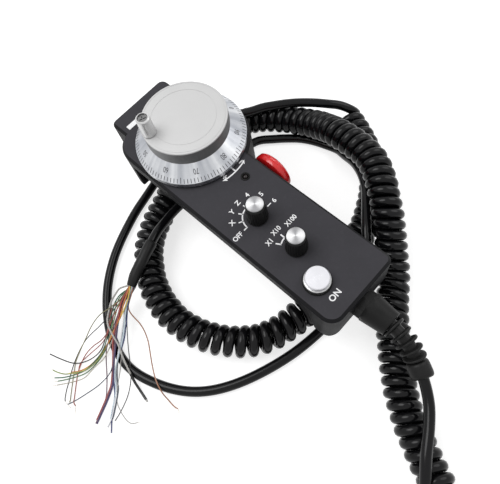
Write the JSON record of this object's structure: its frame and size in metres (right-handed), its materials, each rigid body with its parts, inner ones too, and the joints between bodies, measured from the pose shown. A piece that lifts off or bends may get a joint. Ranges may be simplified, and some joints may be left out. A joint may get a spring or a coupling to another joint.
{
  "type": "pulse generator handwheel",
  "caption": "Corded control pendant: graduated handwheel with crank on a bulged block, long handle with selector knobs, enable button, side emergency stop and a curly cord.",
  "frame": {"origin": "middle of the pendant's box, measured without its cord", "axes": "+Z out of the control face, +Y along the handle towards the handwheel, +X towards the emergency stop"},
  "size_m": [0.3102, 0.3858, 0.1033],
  "materials": {
    "charcoal_plastic": "fine matt",
    "black_plastic": "satin",
    "zinc_steel": "satin",
    "white_label": "smooth",
    "dark_metal": "satin",
    "board_green": "smooth",
    "turned_aluminium": "fine turned",
    "satin_disc": "matt",
    "grey_drum": "satin",
    "white_plastic": "smooth",
    "lamp_smoke": "smooth",
    "stop_red": "smooth",
    "cord_rubber": "glossy",
    "gasket_rubber": "matt",
    "glass_disc": "smooth",
    "wire_mix": "smooth"
  },
  "bodies": {
    "pendant": {"front_shell": "charcoal_plastic", "rear_shell": "charcoal_plastic", "housing_screws": "zinc_steel", "label_strip": "white_label", "encoder_flange": "black_plastic", "encoder_body": "dark_metal", "encoder_screws": "zinc_steel", "spindle_bearings": "zinc_steel", "terminal_board": "board_green", "axis_switch_body": "dark_metal", "axis_switch_nut": "zinc_steel", "multiplier_switch_body": "dark_metal", "multiplier_switch_nut": "zinc_steel", "button_gasket": "gasket_rubber", "button_bezel": "turned_aluminium", "button_nut": "zinc_steel", "button_block": "black_plastic", "lamp_bezel": "black_plastic", "lamp_lens": "lamp_smoke", "stop_collar": "black_plastic", "stop_nut": "black_plastic", "stop_block": "black_plastic", "gland_body": "black_plastic", "gland_cap": "black_plastic", "gland_nut": "black_plastic", "bend_relief": "cord_rubber", "relief_collar": "cord_rubber", "cord_lead": "cord_rubber", "coil_near": "cord_rubber", "coil_far": "cord_rubber", "cord_tail": "cord_rubber", "tail_sleeve": "cord_rubber", "wires_down": "wire_mix", "wires_left": "wire_mix", "wire_right": "wire_mix"},
    "handwheel": {"dial_ring": "turned_aluminium", "knob_body": "grey_drum", "top_disc": "satin_disc", "spindle": "zinc_steel", "hub_nut": "zinc_steel", "code_disc": "glass_disc", "crank_pin": "zinc_steel"},
    "crank": {"crank_grip": "turned_aluminium"},
    "axis_selector": {"axis_knob": "black_plastic", "axis_knob_cap": "turned_aluminium", "axis_shaft": "zinc_steel"},
    "multiplier_selector": {"multiplier_knob": "black_plastic", "multiplier_knob_cap": "turned_aluminium", "multiplier_shaft": "zinc_steel"},
    "enable_button": {"button_cap": "turned_aluminium", "button_plunger": "white_plastic"},
    "stop_plunger": {"stop_stem": "zinc_steel"},
    "stop_mushroom": {"stop_head": "stop_red"}
  },
  "joints": [
    {"name": "handwheel_spin", "type": "hinge", "parent": "pendant", "child": "handwheel", "pos_m": [0, 0.062, 0.01], "axis": [0, 0, 1], "continuous": true},
    {"name": "crank_spin", "type": "hinge", "parent": "handwheel", "child": "crank", "pos_m": [-0.02334, 0.07096, 0.03], "axis": [0, 0, 1], "continuous": true},
    {"name": "axis_select", "type": "hinge", "parent": "pendant", "child": "axis_selector", "pos_m": [-0.0155, -0.016, 0.005], "axis": [0, 0, -1], "range_deg": [0, 180]},
    {"name": "multiplier_select", "type": "hinge", "parent": "pendant", "child": "multiplier_selector", "pos_m": [-0.0155, -0.0495, 0.005], "axis": [0, 0, -1], "range_deg": [0, 60]},
    {"name": "enable_press", "type": "slide", "parent": "pendant", "child": "enable_button", "axis": [0, 0, -1], "range_m": [0, 0.0025], "stiffness_N_per_m": 400, "springref_m": -0.002},
    {"name": "stop_press", "type": "slide", "parent": "pendant", "child": "stop_plunger", "axis": [-1, 0, 0], "range_m": [0, 0.0024]},
    {"name": "stop_twist", "type": "hinge", "parent": "stop_plunger", "child": "stop_mushroom", "pos_m": [0.024, 0.0075, -0.021], "axis": [-1, 0, 0], "range_deg": [0, 30], "stiffness_Nm_per_rad": 0.02}
  ]
}
